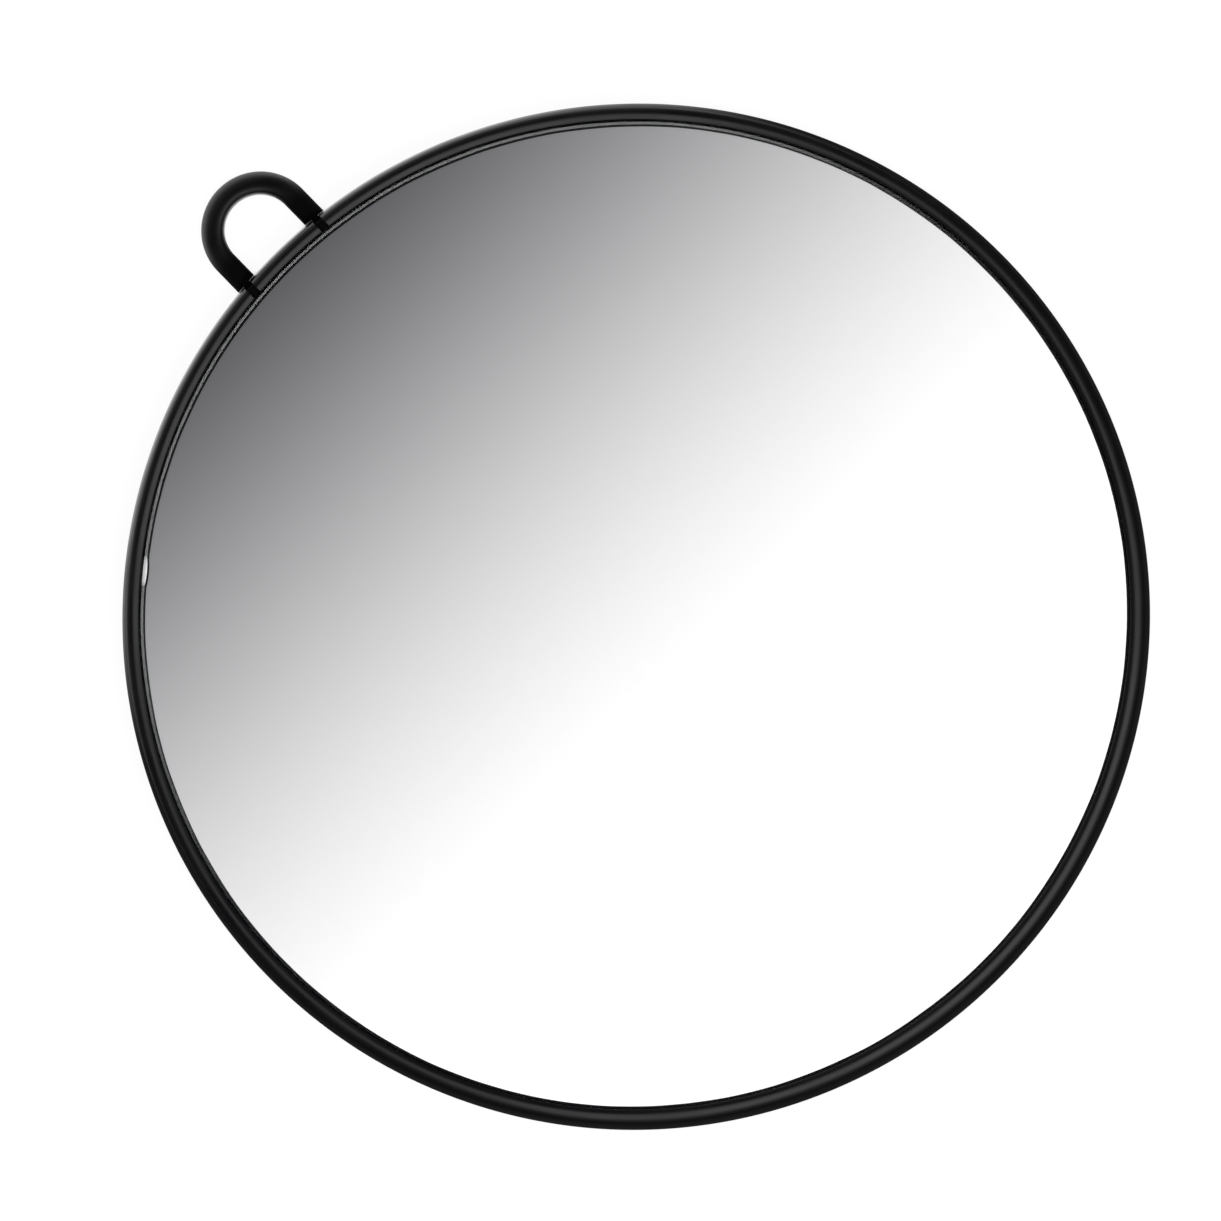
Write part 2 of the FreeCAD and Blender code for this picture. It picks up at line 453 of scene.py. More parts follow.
@dataclass
class SectionLine:
    """A line of straight runs and arcs, in millimetres."""

    points: list[Point] = field(default_factory=list)

    def run(self, *corners: Point) -> "SectionLine":
        """Goes on straight through the corners, and returns the line."""
        self.points.extend(corners)
        return self

    def arc(self, centre: Point, radius: float, start: float, end: float, steps: int) -> "SectionLine":
        """Goes on along an arc.

        Args:
            centre: The arc's centre.
            radius: The arc's radius.
            start: The direction of its first point from the centre, in degrees.
            end: The direction of its last point.
            steps: How many straight pieces stand for the arc.

        Returns:
            The line itself.
        """
        for step in range(steps + 1):
            angle = math.radians(start + (end - start) * step / steps)
            self.points.append((centre[0] + radius * math.cos(angle), centre[1] + radius * math.sin(angle)))
        return self


def wire_object(name: str, points: Sequence[Sequence[float]], closed: bool) -> Piece:
    """Makes an object of one chain of edges.

    Args:
        name: The object's name.
        points: The chain's points, in metres.
        closed: Whether the last point joins the first.

    Returns:
        The object, in the scene.
    """
    count = len(points)
    edges = [(place, (place + 1) % count) for place in range(count if closed else count - 1)]
    mesh = bpy.data.meshes.new(name)
    mesh.from_pydata(points, edges, [])
    return link_object(name, mesh)


def keep_result(piece: Piece) -> None:
    """Turns a piece's modifiers into its plain mesh and removes them.

    Args:
        piece: The piece.
    """
    graph = bpy.context.evaluated_depsgraph_get()
    mesh = bpy.data.meshes.new_from_object(piece.evaluated_get(graph))
    mesh.name = piece.name
    piece.modifiers.clear()
    old = piece.data
    piece.data = mesh
    bpy.data.meshes.remove(old)


def clean_mesh(piece: Piece) -> None:
    """Welds a piece's seams, turns its faces outwards and keeps its sharp edges sharp.

    Args:
        piece: The piece.
    """
    shape = bmesh.new()
    shape.from_mesh(piece.data)
    bmesh.ops.remove_doubles(shape, verts=shape.verts, dist=WELD_DISTANCE * MM)
    bmesh.ops.recalc_face_normals(shape, faces=shape.faces)
    for face in shape.faces:
        face.smooth = True
    shape.to_mesh(piece.data)
    shape.free()
    piece.data.set_sharp_from_angle(angle=SHARP_EDGE)


@dataclass
class GeometryTool:
    """A Geometry Nodes tree with named inputs, which works on a piece's own mesh."""

    name: str
    sockets: dict[str, str]

    def tree(self) -> Tree:
        """Makes the tree once, and finds it again after that.

        Returns:
            The tree, from its inputs to Realize Instances and Set Material.
        """
        known = bpy.data.node_groups.get(self.name)
        if known:
            return known
        tree = bpy.data.node_groups.new(self.name, "GeometryNodeTree")
        tree.interface.new_socket("Geometry", in_out="INPUT", socket_type="NodeSocketGeometry")
        for name, kind in {**self.sockets, "Finish": "NodeSocketMaterial"}.items():
            tree.interface.new_socket(name, in_out="INPUT", socket_type=kind)
        tree.interface.new_socket("Geometry", in_out="OUTPUT", socket_type="NodeSocketGeometry")
        inputs = add_node(tree, "NodeGroupInput")
        shaped = self.shape(tree, inputs)
        smooth = add_node(tree, "GeometryNodeSetShadeSmooth", {"Geometry": shaped})
        real = add_node(tree, "GeometryNodeRealizeInstances", {"Geometry": smooth[0]})
        coated = add_node(tree, "GeometryNodeSetMaterial", {
            "Geometry": real[0], "Material": inputs["Finish"]})
        add_node(tree, "NodeGroupOutput", {"Geometry": coated[0]})
        return tree

    def shape(self, tree: Tree, inputs: Outputs) -> Socket:
        """Adds the nodes that make the shape.

        Args:
            tree: The tree to add to; not used here.
            inputs: The tree's inputs, by name.

        Returns:
            The socket that gives the shape.
        """
        return inputs["Geometry"]

    def apply(self, piece: Piece, finish: Finish, **values: Any) -> None:
        """Runs the tree on a piece and keeps the result as its mesh.

        Args:
            piece: The piece, whose own mesh is the tree's geometry.
            finish: The finish that the result gets.
            **values: The tree's inputs, with low lines for the spaces in their names.
        """
        tree = self.tree()
        modifier = piece.modifiers.new(self.name, "NODES")
        modifier.node_group = tree
        keys = {item.name: item.identifier for item in tree.interface.items_tree if item.in_out == "INPUT"}
        modifier[keys["Finish"]] = finish.material()
        for name, value in values.items():
            modifier[keys[name.replace("_", " ")]] = value
        keep_result(piece)


@dataclass
class SectionSweep(GeometryTool):
    """Sweeps a piece's section along a flat path: the section's X goes outwards and its Y goes down."""

    name: str = "sweep_section_along_path"
    sockets: dict[str, str] = field(default_factory=lambda: {
        "Path": "NodeSocketObject", "Closed Ends": "NodeSocketBool", "Weld": "NodeSocketFloat"})

    def shape(self, tree: Tree, inputs: Outputs) -> Socket:
        """The section as a profile, carried level along the path.

        Args:
            tree: The tree to add to.
            inputs: The tree's inputs, by name.

        Returns:
            The socket that gives the shape.
        """
        section = add_node(tree, "GeometryNodeMeshToCurve", {"Mesh": inputs["Geometry"]})
        path = add_node(tree, "GeometryNodeObjectInfo", {"Object": inputs["Path"]})
        route = add_node(tree, "GeometryNodeMeshToCurve", {"Mesh": path["Geometry"]})
        level = add_node(tree, "GeometryNodeSetCurveNormal", {"Curve": route[0]}, mode="Z_UP")
        swept = add_node(tree, "GeometryNodeCurveToMesh", {
            "Curve": level[0], "Profile Curve": section[0], "Fill Caps": inputs["Closed Ends"]})
        welded = add_node(tree, "GeometryNodeMergeByDistance", {
            "Geometry": swept[0], "Distance": inputs["Weld"]})
        return welded[0]


@dataclass
class RingOfCopies(GeometryTool):
    """Sets copies of a piece round the Z axis, at equal steps from a half step on."""

    name: str = "copies_round_a_ring"
    sockets: dict[str, str] = field(default_factory=lambda: {"Count": "NodeSocketInt"})
    first_step: float = 0.5

    def shape(self, tree: Tree, inputs: Outputs) -> Socket:
        """One point for each copy, all at the middle, and a turn for each by its number.

        Args:
            tree: The tree to add to.
            inputs: The tree's inputs, by name.

        Returns:
            The socket that gives the shape.
        """
        points = add_node(tree, "GeometryNodePoints", {"Count": inputs["Count"], "Radius": MM})
        turn = add_node(tree, "GeometryNodeInputIndex")[0]
        steps = (("ADD", self.first_step), ("DIVIDE", inputs["Count"]), ("MULTIPLY", math.tau))
        for operation, value in steps:
            turn = add_node(tree, "ShaderNodeMath", {0: turn, 1: value}, operation=operation)[0]
        angles = add_node(tree, "ShaderNodeCombineXYZ", {"Z": turn})
        copies = add_node(tree, "GeometryNodeInstanceOnPoints", {
            "Points": points[0], "Instance": inputs["Geometry"], "Rotation": angles[0]})
        return copies[0]


@dataclass
class HandGrinding(GeometryTool):
    """Lets the inner line of the ground edge waver, as a stone held by hand leaves it."""

    name: str = "hand_ground_edge_line"
    sockets: dict[str, str] = field(default_factory=lambda: dict.fromkeys((
        "Line Radius", "Line Height", "Reach", "Lean", "Waver", "Waver Length", "Chip", "Chip Length"),
        "NodeSocketFloat"))
    waver_from: float = 0.5
    chip_from: float = 0.62
    line_detail: float = 1.0

    def shape(self, tree: Tree, inputs: Outputs) -> Socket:
        """Moves the points of the line towards or away from the axis by two noises and a lean to +Y.

        Args:
            tree: The tree to add to.
            inputs: The tree's inputs, by name.

        Returns:
            The socket that gives the shape.
        """
        place = add_node(tree, "GeometryNodeInputPosition")[0]
        parts = add_node(tree, "ShaderNodeSeparateXYZ", {0: place})
        flat = add_node(tree, "ShaderNodeCombineXYZ", {"X": parts["X"], "Y": parts["Y"]})[0]
        radius = add_node(tree, "ShaderNodeVectorMath", {0: flat}, operation="LENGTH")["Value"]
        outwards = add_node(tree, "ShaderNodeVectorMath", {0: flat}, operation="NORMALIZE")[0]
        on_line: Any = 1.0
        for measure, wanted in ((radius, "Line Radius"), (parts["Z"], "Line Height")):
            near = add_node(tree, "ShaderNodeMath", {
                0: measure, 1: inputs[wanted], 2: inputs["Reach"]}, operation="COMPARE")[0]
            on_line = add_node(tree, "ShaderNodeMath", {0: on_line, 1: near}, operation="MULTIPLY")[0]
        heading = add_node(tree, "ShaderNodeSeparateXYZ", {0: outwards})
        side = add_node(tree, "ShaderNodeMapRange", {
            "Value": heading["Y"], "From Min": -1.0, "From Max": 1.0, "To Min": 0.0, "To Max": -1.0})
        move = add_node(tree, "ShaderNodeMath", {0: side[0], 1: inputs["Lean"]}, operation="MULTIPLY")[0]
        for depth, low, inwards_only in (("Waver", self.waver_from, False), ("Chip", self.chip_from, True)):
            scale = add_node(tree, "ShaderNodeMath", {
                0: 1.0, 1: inputs[depth + " Length"]}, operation="DIVIDE")
            noise = add_node(tree, "ShaderNodeTexNoise", {
                "Vector": place, "Scale": scale[0], "Detail": self.line_detail})
            rise = add_node(tree, "ShaderNodeMapRange", {
                "Value": noise[0], "From Min": low, "From Max": 1.0, "To Min": 0.0, "To Max": -1.0},
                clamp=inwards_only)
            move = add_node(tree, "ShaderNodeMath", {
                0: rise[0], 1: inputs[depth], 2: move}, operation="MULTIPLY_ADD")[0]
        offset = add_node(tree, "ShaderNodeVectorMath", {0: outwards, "Scale": move}, operation="SCALE")
        moved = add_node(tree, "GeometryNodeSetPosition", {
            "Geometry": inputs["Geometry"], "Selection": on_line, "Offset": offset[0]})
        return moved[0]


SWEEP = SectionSweep()
COPIES = RingOfCopies()
GRINDING = HandGrinding()


def swept_piece(
    name: str, section: Sequence[Point], path: Sequence[Point], closed_path: bool, finish: Finish,
) -> Piece:
    """Sweeps a closed section along a flat path.

    Args:
        name: The piece's name.
        section: Points as (distance outwards from the path, height), in millimetres.
        path: The path's points in the XY plane, in millimetres.
        closed_path: Whether the path is a ring.
        finish: The piece's finish.

    Returns:
        The piece, as a closed mesh.
    """
    piece = wire_object(name, [(out * MM, -height * MM, 0.0) for out, height in section], True)
    route = wire_object(name + "_path", [(x * MM, y * MM, 0.0) for x, y in path], closed_path)
    SWEEP.apply(piece, finish, Path=route, Closed_Ends=not closed_path, Weld=WELD_DISTANCE * MM)
    bpy.data.objects.remove(route)
    clean_mesh(piece)
    return piece


def turned_piece(name: str, section: Sequence[Point], finish: Finish, steps: int) -> Piece:
    """Turns a section about the Z axis.

    Args:
        name: The piece's name.
        section: Points as (radius, height), in millimetres.
        finish: The piece's finish.
        steps: How many flats stand for the full turn.

    Returns:
        The piece, as a closed mesh.
    """
    ring = max(radius for radius, _ in section)
    angles = [math.tau * step / steps for step in range(steps)]
    path = [(ring * math.cos(angle), ring * math.sin(angle)) for angle in angles]
    return swept_piece(name, [(radius - ring, height) for radius, height in section], path, True, finish)


def solid_box(name: str, low: Vector, high: Vector) -> Piece:
    """Makes a box between two corners, as a tool for cutting or joining.

    Args:
        name: The box's name.
        low: Its lowest corner, in millimetres.
        high: Its highest corner, in millimetres.

    Returns:
        The box.
    """
    shape = bmesh.new()
    middle = Matrix.Translation((low + high) / 2 * MM)
    bmesh.ops.create_cube(shape, size=1.0, matrix=middle @ Matrix.Diagonal(((high - low) * MM).to_4d()))
    return object_from(name, shape)


def rod_along_x(name: str, centre: Vector, radius: float, length: float) -> Piece:
    """Makes a rod along X, as a tool for cutting or joining.

    Args:
        name: The rod's name.
        centre: Its middle, in millimetres.
        radius: Its radius, in millimetres.
        length: Its length, in millimetres.

    Returns:
        The rod.
    """
    shape = bmesh.new()
    turn = Matrix.Rotation(math.pi / 2, 4, "Y")
    bmesh.ops.create_cone(
        shape, cap_ends=True, segments=ROD_SIDES, radius1=radius * MM, radius2=radius * MM, depth=length * MM,
        matrix=Matrix.Translation(centre * MM) @ turn)
    return object_from(name, shape)


def object_from(name: str, shape: bmesh.types.BMesh) -> Piece:
    """Turns a bmesh into an object in the scene, and frees it.

    Args:
        name: The object's name.
        shape: The bmesh, which is used up.

    Returns:
        The object.
    """
    mesh = bpy.data.meshes.new(name)
    shape.to_mesh(mesh)
    shape.free()
    return link_object(name, mesh)


def combine(piece: Piece, tools: Sequence[Piece], operation: str) -> None:
    """Cuts tools out of a piece or joins them to it, and removes the tools.

    Args:
        piece: The piece that stays.
        tools: The shapes to use up.
        operation: DIFFERENCE or UNION.
    """
    for tool in tools:
        modifier = piece.modifiers.new(tool.name, "BOOLEAN")
        modifier.object = tool
        modifier.operation = operation
        modifier.solver = "EXACT"
    keep_result(piece)
    for tool in tools:
        bpy.data.objects.remove(tool)
    clean_mesh(piece)


def give(piece: Piece, finish: Finish) -> None:
    """Gives a piece one finish all over."""
    piece.data.materials.clear()
    piece.data.materials.append(finish.material())


def coat_solid(node: str, finish: Finish) -> None:
    """Finishes a node that keeps its own solid."""
    give(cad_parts[node], finish)
    log.info("%s keeps its solid", node)


def seat(piece: Piece, body: Body, node: str) -> None:
    """Makes a piece stand for a node.

    Args:
        piece: The piece.
        body: The body that it rides on.
        node: The node that it replaces.
    """
    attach(piece, body.value)
    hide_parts(node)
    log.info("%s stands for %s, with %d faces", piece.name, node, len(piece.data.polygons))


def box_of(node: str) -> tuple[Vector, Vector]:
    """The corners of a node's box, in millimetres."""
    low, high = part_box(node)
    return low / MM, high / MM


@dataclass
class Hinge:
    """The loop's pin, which the rim's bore and the loop's eyes share."""

    pin_radius: float = 0.75
    seat_clearance: float = 0.03
    end_clearance: float = 0.05
    mouth_height: float = 1.3
    eye_radius: float = 1.5
    eye_clearance: float = 0.05
    knuckle_width: float = 2.0
    side_clearance: float = 0.2
    swing_clearance: float = 0.2
    web_reach: float = 1.0
    low: Vector = field(init=False)
    high: Vector = field(init=False)
    centre: Vector = field(init=False)

    def __post_init__(self) -> None:
        """Takes the axis and the length from the pin's own node."""
        self.low, self.high = box_of("hinge_pin")
        self.centre = (self.low + self.high) / 2

    @property
    def length(self) -> float:
        """The pin's length."""
        return self.high.x - self.low.x

    def dress(self) -> None:
        """Finishes the pin as drawn wire."""
        coat_solid("hinge_pin", PIN_STEEL)


@dataclass
class MouldedRim:
    """The black ring: a round-topped hump with a lip over the glass, a shelf inside and two hinge slots."""

    hinge: Hinge
    leg_x: float
    neck_bottom: float
    cover_thickness: float
    rim_width: float = 4.8
    foot_radius: float = 1.0
    crown_inset: float = 3.4
    top_radius: float = 2.5
    lip_radius: float = 0.4
    rim_foot_width: float = 7.3
    shelf_width: float = 6.6
    shelf_top: float = 2.6
    cut_overrun: float = 2.0
    matte_and_shade_margin: float = 0.1
    turn_steps: int = 480
    arc_steps: int = 12

    def __post_init__(self) -> None:
        """Takes the ring's reach and height from its node."""
        _, high = box_of("front_frame")
        self.outer_radius = high.x
        self.crown_height = high.z
        self.recess_radius = self.outer_radius - self.rim_width

    def section(self) -> list[Point]:
        """The ring's section, from the cover's rebate round the outside to the shelf.

        Returns:
            Points as (radius, height), in millimetres.
        """
        outer, foot, top, lip = self.outer_radius, self.foot_radius, self.top_radius, self.lip_radius
        shelf = self.recess_radius - self.shelf_width
        rebate = outer - self.rim_foot_width

        crown = outer - self.crown_inset
        top_height = self.crown_height - top
        lift = top_height - foot
        flank = (self.crown_inset ** 2 + lift ** 2 - top ** 2) / (2 * (self.crown_inset - top))
        flank_end = math.degrees(math.atan2(lift, flank - self.crown_inset))
        lip_run = crown - self.recess_radius - lip
        lip_start = math.degrees(math.acos(-lip_run / (top - lip)))
        lip_height = top_height + math.sqrt((top - lip) ** 2 - lip_run ** 2)

        line = SectionLine().run((rebate, 0.0))
        line.arc((outer - foot, foot), foot, -90, 0, self.arc_steps)
        line.arc((outer - flank, foot), flank, 0, flank_end, self.arc_steps)
        line.arc((crown, top_height), top, flank_end, lip_start, 2 * self.arc_steps)
        line.arc((self.recess_radius + lip, lip_height), lip, lip_start, 180, self.arc_steps)
        line.run((self.recess_radius, self.shelf_top), (shelf, self.shelf_top))
        line.run((shelf, self.cover_thickness), (rebate, self.cover_thickness))
        return line.points

    def slot_cutters(self, side: Side) -> list[Piece]:
        """The two boxes that cut one knuckle's slot.

        Args:
            side: Which leg of the loop.

        Returns:
            The cutters for the outer and the inner half of the slot.
        """
        half = self.hinge.knuckle_width / 2 + self.hinge.side_clearance
        near, far = side.value * self.leg_x - half, side.value * self.leg_x + half
        top = self.crown_height + self.cut_overrun
        clear = self.hinge.swing_clearance
        pin = self.hinge.centre
        outer_low = Vector((near, pin.y - clear, self.neck_bottom - clear))
        outer_high = Vector((far, self.outer_radius + self.cut_overrun, top))
        inner_floor = pin.z - self.hinge.eye_radius - clear
        inner_low = Vector((near, self.recess_radius - self.cut_overrun, inner_floor))
        inner_high = Vector((far, pin.y, top))
        return [
            solid_box("outer_slot", outer_low, outer_high), solid_box("inner_slot", inner_low, inner_high)]

    def pin_cutters(self) -> list[Piece]:
        """The bore of the pin and its mouth towards the glass.

        Returns:
            The cutters for the bore and the mouth.
        """
        hinge, pin = self.hinge, self.hinge.centre
        length = hinge.length + 2 * hinge.end_clearance
        bore = rod_along_x("pin_bore", pin, hinge.pin_radius + hinge.seat_clearance, length)
        half_mouth = hinge.mouth_height / 2
        mouth = solid_box(
            "pin_mouth",
            Vector((-length / 2, self.recess_radius - self.cut_overrun, pin.z - half_mouth)),
            Vector((length / 2, pin.y, pin.z + half_mouth)))
        return [bore, mouth]

    def build(self) -> Piece:
        """Turns the ring and cuts the slots and the pin's bore.

        Returns:
            The ring.
        """
        ring = turned_piece("moulded_rim", self.section(), RIM_PLASTIC, self.turn_steps)
        cutters = self.pin_cutters()
        for side in Side:
            cutters += self.slot_cutters(side)
        combine(ring, cutters, "DIFFERENCE")
        return ring

    def dress(self, ring: Piece) -> None:
        """Finishes the ring glossy outside, and matte and painted a shade darker in the glass recess, and
        seats it.

        Args:
            ring: The ring.
        """
        give(ring, RIM_PLASTIC)
        ring.data.materials.append(RECESS_PLASTIC.material())
        # Painted shade: the faces of the glass recess get the darker recess plastic.
        matte_and_shade_reach = (self.recess_radius + self.matte_and_shade_margin) * MM
        for face in ring.data.polygons:
            face.material_index = 1 if face.center.xy.length < matte_and_shade_reach else 0
        seat(ring, Body.MIRROR, "front_frame")


@dataclass
class MirrorPlate:
    """The glass disc with its ground edge, and the silver on its back."""

    BRUISE_AND_GLINT = "bruise"

    arris: float = 0.5
    line_reach: float = 0.125
    ground_slopes: tuple[float, float] = (0.2, 0.95)
    silver_gap: float = 0.02
    lean: float = 0.25
    waver: float = 0.12
    waver_length: float = 14.0
    chip: float = 0.03
    chip_length: float = 3.0
    bruise_and_glint_angle: float = 130.8
    bruise_and_glint_length: float = 6.8
    bruise_depth: float = 0.32
    turn_steps: int = 720

    def __post_init__(self) -> None:
        """Takes the disc's size and place from its node."""
        low, high = box_of("mirror_glass")
        self.radius = high.x
        self.bottom = low.z + self.silver_gap
        self.top = high.z

    def build(self) -> Piece:
        """Turns the disc, wavers its ground line and chips the bruised stretch, which is also marked for a
        painted glint.

        Returns:
            The glass.
        """
        ground_line = self.radius - self.arris
        section = [
            (0.0, self.bottom), (self.radius, self.bottom), (self.radius, self.top - self.arris),
            (ground_line, self.top), (0.0, self.top)]
        glass = turned_piece("silvered_glass_disc", section, CLEAR_GLASS, self.turn_steps)
        GRINDING.apply(
            glass, CLEAR_GLASS, Line_Radius=ground_line * MM, Line_Height=self.top * MM,
            Reach=self.line_reach * MM, Lean=self.lean * MM, Waver=self.waver * MM,
            Waver_Length=self.waver_length * MM, Chip=self.chip * MM, Chip_Length=self.chip_length * MM)
        clean_mesh(glass)
        glass.data.set_sharp_from_angle(angle=GLASS_SHARP_EDGE)
        self.bruise(glass.data)
        return glass

    def bruise(self, mesh: bpy.types.Mesh) -> None:
        """Chips a stretch of the ground line deeper, and marks it by an attribute that is 1 there, where the
        edge is painted white, partly as crushed glass and partly as a painted glint.

        Args:
            mesh: The glass's mesh.
        """
        mark = mesh.attributes.new(self.BRUISE_AND_GLINT, "FLOAT", "POINT")
        half_turn = self.bruise_and_glint_length / self.radius / 2
        middle = math.radians(self.bruise_and_glint_angle)
        for vertex, marked in zip(mesh.vertices, mark.data):
            off = abs(math.atan2(vertex.co.y, vertex.co.x) - middle) / half_turn
            if off >= 1.0:
                continue
            marked.value = 1.0
            if vertex.co.z > (self.top - self.arris / 2) * MM:
                inwards = 1.0 - self.bruise_depth * (1.0 - off ** 2) / self.radius
                vertex.co.x *= inwards
                vertex.co.y *= inwards

    def dress(self, glass: Piece) -> None:
        """Finishes the clear faces, the ground edge and the silver, and seats the disc.

        Args:
            glass: The disc.
        """
        give(glass, CLEAR_GLASS)
        glass.data.materials.append(GROUND_EDGE.material())
        steepest, flattest = self.ground_slopes
        for face in glass.data.polygons:
            face.material_index = 1 if steepest < face.normal.z < flattest else 0
        seat(glass, Body.MIRROR, "mirror_glass")
        coat_solid("silver_coating", SILVER)


@dataclass
class HangingLoop:
    """The U-shaped loop, with a knuckle on each leg that turns on the pin."""

    hinge: Hinge
    band: float = 5.75
    thickness: float = 3.4
    crown_inset: float = 4.3
    outer_drop: float = 2.6
    foot_radius: float = 0.4
    shoulder_radius: float = 2.5
    shoulder_drop: float = 2.2
    rim_gap: float = 0.3
    neck_root: float = 1.6
    neck_drop: float = 0.7
    neck_depth: float = 2.3
    bow_steps: int = 72
    arc_steps: int = 14
    corner_steps: int = 6
    room_steps: int = 360

    def __post_init__(self) -> None:
        """Takes the loop's reach from its node."""
        low, high = box_of("hanging_loop")
        self.bottom = low.z
        self.top = self.bottom + self.thickness
        self.leg_x = high.x - self.band / 2
        self.bow_y = high.y - high.x

    @property
    def neck_bottom(self) -> float:
        """The underside of the necks, which rest on the slots' floors."""
        return self.top - self.neck_depth

    def section(self) -> list[Point]:
        """The band's section about its middle line: a flat foot, low sides and a hump with its crown inwards.

        Returns:
            Points as (distance outwards, height), in millimetres.
        """
        half, foot, inset, drop = self.band / 2, self.foot_radius, self.crown_inset, self.outer_drop
        crown, inner = half - inset, self.band - inset
        outer = (inset ** 2 + drop ** 2) / (2 * drop)
        outer_turn = math.degrees(2 * math.atan2(drop, inset))
        line = SectionLine()
        line.arc((half - foot, self.bottom + foot), foot, -90, 0, self.corner_steps)
        line.arc((crown, self.top - outer), outer, 90 - outer_turn, 90, self.arc_steps)
        line.arc((crown, self.top - inner), inner, 90, 180, self.arc_steps)
        line.arc((foot - half, self.bottom + foot), foot, 180, 270, self.corner_steps)
        return line.points

    def rim_room(self, reach: float) -> Piece:
        """The shape that cuts the legs short of the rim and rounds their shoulders.

        Args:
            reach: The radius at which the legs end.

        Returns:
            The cutter.
        """
        shoulder, low = self.shoulder_radius, self.top - self.shoulder_drop
        line = SectionLine().run((0.0, 0.0), (reach, 0.0))
        line.arc((reach + shoulder, low), shoulder, 180, 90, self.arc_steps)
        line.run((0.0, low + shoulder))
        return turned_piece("rim_room", line.points, LOOP_PLASTIC, self.room_steps)

    def build(self, rim_radius: float) -> Piece:
        """Sweeps the band, cuts it short of the rim and joins the knuckles.

        Args:
            rim_radius: The ring's outer radius.

        Returns:
            The loop.
        """
        pin = self.hinge.centre
        path = SectionLine().run((self.leg_x, pin.y))
        path.arc((0.0, self.bow_y), self.leg_x, 0, 180, self.bow_steps)
        path.run((-self.leg_x, pin.y))
        loop = swept_piece("moulded_hanging_loop", self.section(), path.points, False, LOOP_PLASTIC)
        room = rim_radius + self.rim_gap
        combine(loop, [self.rim_room(room)], "DIFFERENCE")
        knuckles = []
        for side in Side:
            knuckles += self.knuckle(side, room + self.neck_root)
        combine(loop, knuckles, "UNION")
        bore_length = 2 * (self.leg_x + self.hinge.knuckle_width)
        bore = rod_along_x("eye_bore", pin, self.hinge.pin_radius + self.hinge.eye_clearance, bore_length)
        combine(loop, [bore], "DIFFERENCE")
        return loop

    def knuckle(self, side: Side, root: float) -> list[Piece]:
        """One leg's eye, and the web and the neck that join it to the band.

        Args:
            side: Which leg.
            root: The Y to which the neck reaches into the band.

        Returns:
            The eye, the web and the neck.
        """
        width, pin = self.hinge.knuckle_width, self.hinge.centre
        middle = side.value * self.leg_x
        low = Vector((middle - width / 2, pin.y, self.neck_bottom))
        eye = rod_along_x("eye", Vector((middle, pin.y, pin.z)), self.hinge.eye_radius, width)
        web = solid_box("web", low, Vector((middle + width / 2, pin.y + self.hinge.web_reach, pin.z)))
        neck = solid_box("neck", low, Vector((middle + width / 2, root, self.top - self.neck_drop)))
        return [eye, web, neck]

    def dress(self, loop: Piece) -> None:
        """Finishes the loop and seats it."""
        give(loop, LOOP_PLASTIC)
        seat(loop, Body.LOOP, "hanging_loop")


@dataclass
class BackAssembly:
    """What closes the back: the snapped-in cover, the foam sheet over it and the tape under the glass."""

    cover_thickness: float = 1.4
    cover_chamfer: float = 0.5
    tab_radius: float = 113.4
    tab_count: int = 8
    tab_length: float = 8.0
    tab_thickness: float = 1.4
    tab_steps: int = 8
    hook_reach: float = 0.8
    hook_height: float = 0.6
    pad_rounding: float = 0.6
    pad_steps: int = 6
    turn_steps: int = 360

    def cover(self) -> Piece:
        """Turns the cover's plate and sets the snap tabs round it.

        Returns:
            The cover.
        """
        _, high = box_of("back_cover")
        radius, top, chamfer = high.x, self.cover_thickness, self.cover_chamfer
        plate = turned_piece(
            "moulded_back_cover",
            [(0.0, 0.0), (radius - chamfer, 0.0), (radius, chamfer), (radius, top), (0.0, top)],
            COVER_PLASTIC, self.turn_steps)
        hook_under = high.z - self.hook_height
        inner = self.tab_radius - self.tab_thickness
        tab_section = [
            (inner, top - chamfer), (self.tab_radius, top - chamfer), (self.tab_radius, hook_under),
            (self.tab_radius + self.hook_reach, hook_under), (self.tab_radius, high.z), (inner, high.z)]
        half_turn = math.degrees(self.tab_length / self.tab_radius / 2)
        path = SectionLine().arc((0.0, 0.0), self.tab_radius, -half_turn, half_turn, self.tab_steps)
        tab = swept_piece(
            "snap_tab", [(r - self.tab_radius, height) for r, height in tab_section], path.points, False,
            COVER_PLASTIC)
        COPIES.apply(tab, COVER_PLASTIC, Count=self.tab_count)
        combine(plate, [tab], "UNION")
        return plate

    def pad(self) -> Piece:
        """Turns the foam sheet, whose cut edge is rounded by the press of the cover.

        Returns:
            The foam sheet.
        """
        low, high = box_of("foam_pad")
        radius, rounding = high.x, self.pad_rounding
        line = SectionLine().run((0.0, low.z))
        line.arc((radius - rounding, low.z + rounding), rounding, -90, 0, self.pad_steps)
        line.arc((radius - rounding, high.z - rounding), rounding, 0, 90, self.pad_steps)
        line.run((0.0, high.z))
        return turned_piece("foam_sheet", line.points, PAD_FOAM, self.turn_steps)

    def build(self) -> tuple[Piece, Piece]:
        """Makes the cover and the foam sheet."""
        return self.cover(), self.pad()

    def dress(self, cover: Piece, pad: Piece) -> None:
        """Finishes the cover, the foam and the tape, and seats the new pieces.

        Args:
            cover: The cover.
            pad: The foam sheet.
        """
        give(cover, COVER_PLASTIC)
        seat(cover, Body.MIRROR, "back_cover")
        give(pad, PAD_FOAM)
        seat(pad, Body.MIRROR, "foam_pad")
        coat_solid("tape_ring", TAPE_FOAM)


